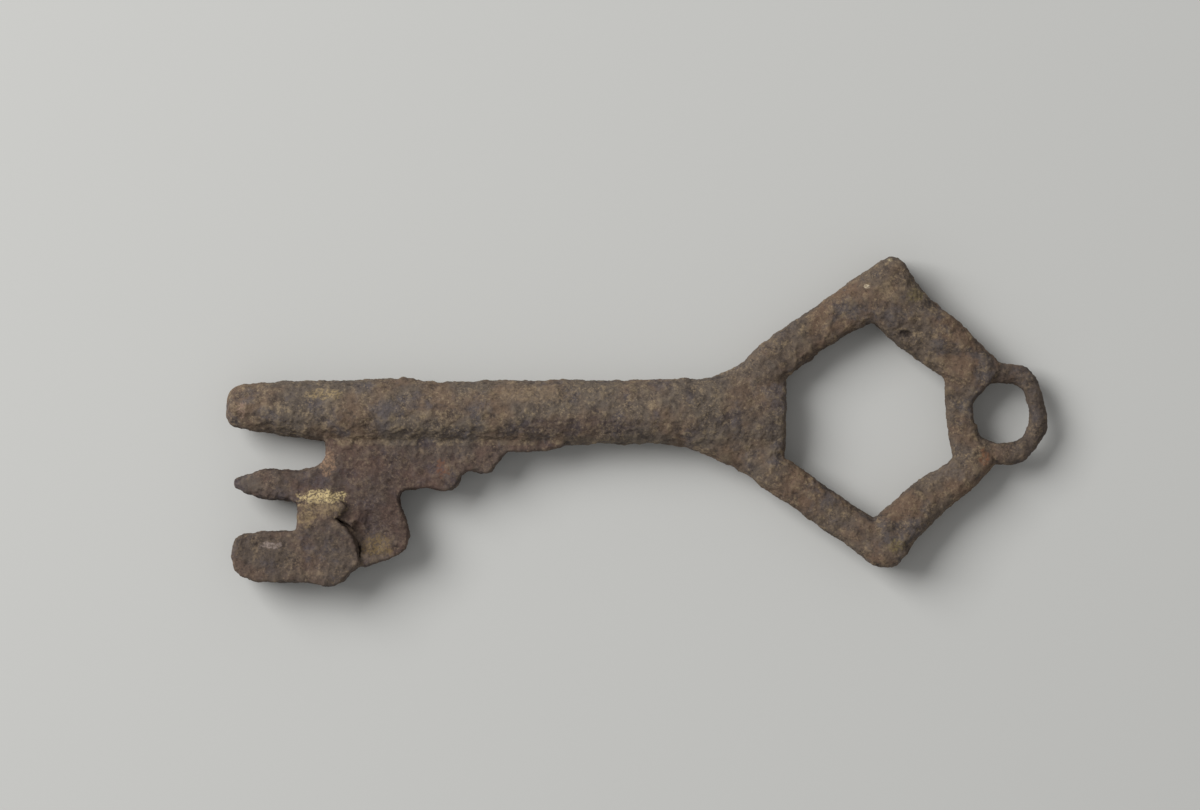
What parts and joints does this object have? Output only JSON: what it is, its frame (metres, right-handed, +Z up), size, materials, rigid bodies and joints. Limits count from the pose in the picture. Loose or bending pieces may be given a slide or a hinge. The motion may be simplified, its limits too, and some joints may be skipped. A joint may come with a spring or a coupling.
{
  "type": "iron key",
  "caption": "Forged iron key, corroded, with a round shank, a pronged bit on one side of the tip, an open lozenge-shaped bow and a hanging loop behind it.",
  "frame": {"origin": "middle of the key's plan, on the surface that it lies on", "axes": "+X along the shank from its tip to the hanging loop, +Y away from the bit, +Z up from the surface"},
  "size_m": [0.1402, 0.056, 0.0105],
  "materials": {
    "shank_iron": "matt corroded wrought iron, grey-brown with pale mineral specks",
    "bow_iron": "matt corroded wrought iron, warm brown, pitted along its edges",
    "loop_iron": "matt corroded wrought iron, brown, flaking",
    "bit_iron": "matt corroded wrought iron, red-brown, with tan mineral crust",
    "foot_iron": "matt corroded wrought iron, dark brown, with tan mineral crust"
  },
  "bodies": {
    "root": {"shank": "shank_iron", "bow_upper_arm": "bow_iron", "bow_lower_arm": "bow_iron", "bow_upper_side": "bow_iron", "bow_lower_side": "bow_iron", "bow_back_bar": "bow_iron", "hanging_loop": "loop_iron", "bit_plate": "bit_iron", "bit_foot": "foot_iron"}
  },
  "joints": []
}
